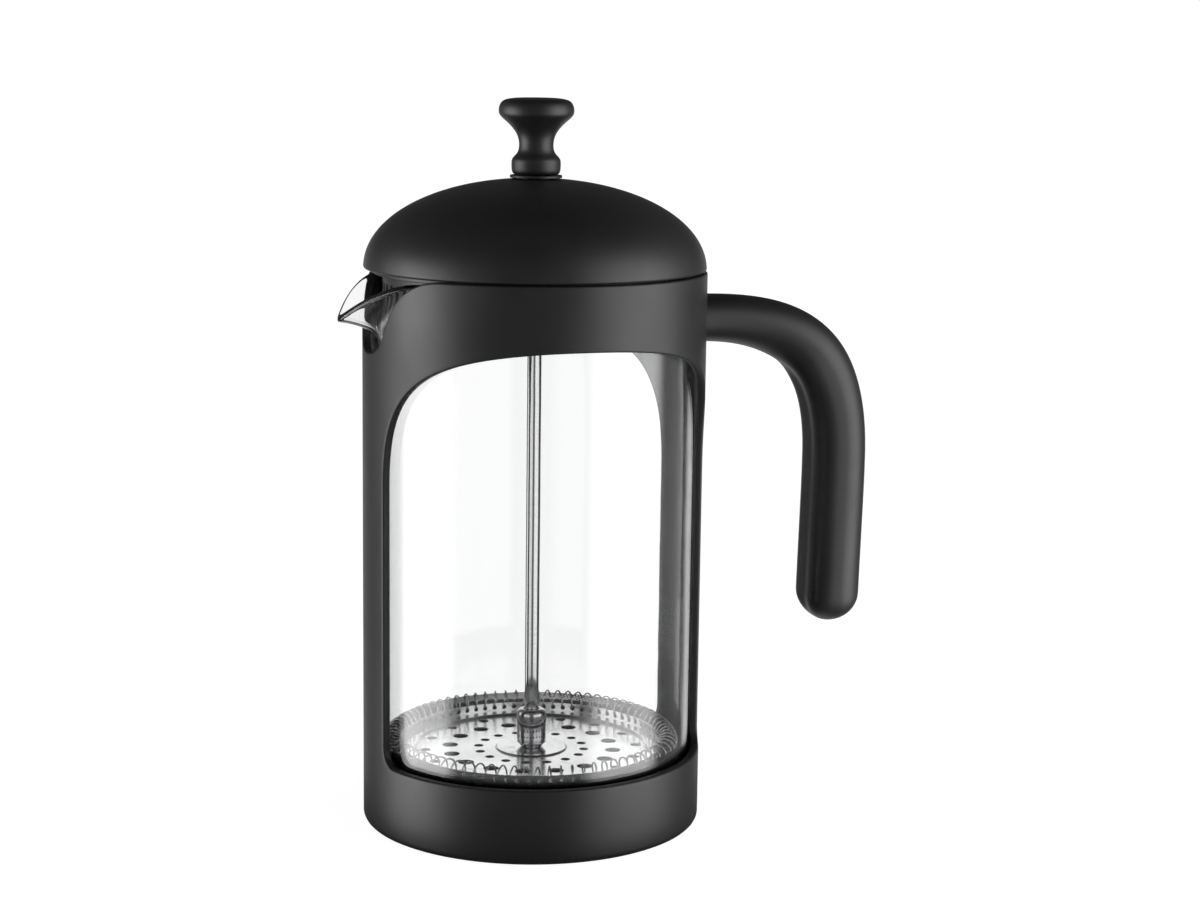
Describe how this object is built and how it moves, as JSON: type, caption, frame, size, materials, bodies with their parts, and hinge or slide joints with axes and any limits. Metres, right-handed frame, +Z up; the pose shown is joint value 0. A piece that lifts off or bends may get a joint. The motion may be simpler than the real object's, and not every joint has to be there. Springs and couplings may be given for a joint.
{
  "type": "french press",
  "caption": "French press with a glass beaker in a black windowed carrier, a cane handle, a domed lid that turns, and a sprung mesh plunger on a rod.",
  "frame": {"origin": "centre of the carrier's flat underside, on the axis of the press", "axes": "+Z up along the press's axis, -X towards the spout, +X towards the handle, the windows face -Y and +Y"},
  "size_m": [0.1762, 0.107, 0.2276],
  "materials": {
    "black_plastic": "satin black moulded plastic",
    "silicone": "matt silicone",
    "glass": "clear borosilicate",
    "stainless": "bright stainless steel",
    "chrome": "polished",
    "brass": "turned"
  },
  "bodies": {
    "carrier": {"carrier_frame": "black_plastic", "handle": "black_plastic", "handle_screw_lower": "stainless", "handle_screw_upper": "stainless", "base_pad": "silicone"},
    "beaker": {"glass_beaker": "glass"},
    "guide": {"rod_guide": "black_plastic", "guide_nut": "stainless"},
    "lid": {"lid_dome": "black_plastic", "lid_insert": "black_plastic"},
    "plunger": {"knob": "black_plastic", "knob_insert": "brass", "plunger_rod": "stainless", "rod_hub": "chrome", "spiral_plate": "stainless", "spiral_spring": "stainless", "filter_mesh": "stainless", "cross_plate": "stainless", "cross_stud": "stainless"}
  },
  "joints": [
    {"name": "beaker_lift", "type": "slide", "parent": "carrier", "child": "beaker", "axis": [0, 0, 1], "range_m": [0, 0.18]},
    {"name": "lid_lift", "type": "slide", "parent": "beaker", "child": "guide", "axis": [0, 0, 1], "range_m": [0, 0.18]},
    {"name": "lid_turn", "type": "hinge", "parent": "guide", "child": "lid", "pos_m": [0, 0, 0.19], "axis": [0, 0, 1], "continuous": true},
    {"name": "plunger_slide", "type": "slide", "parent": "guide", "child": "plunger", "axis": [0, 0, 1], "range_m": [0, 0.128]}
  ]
}
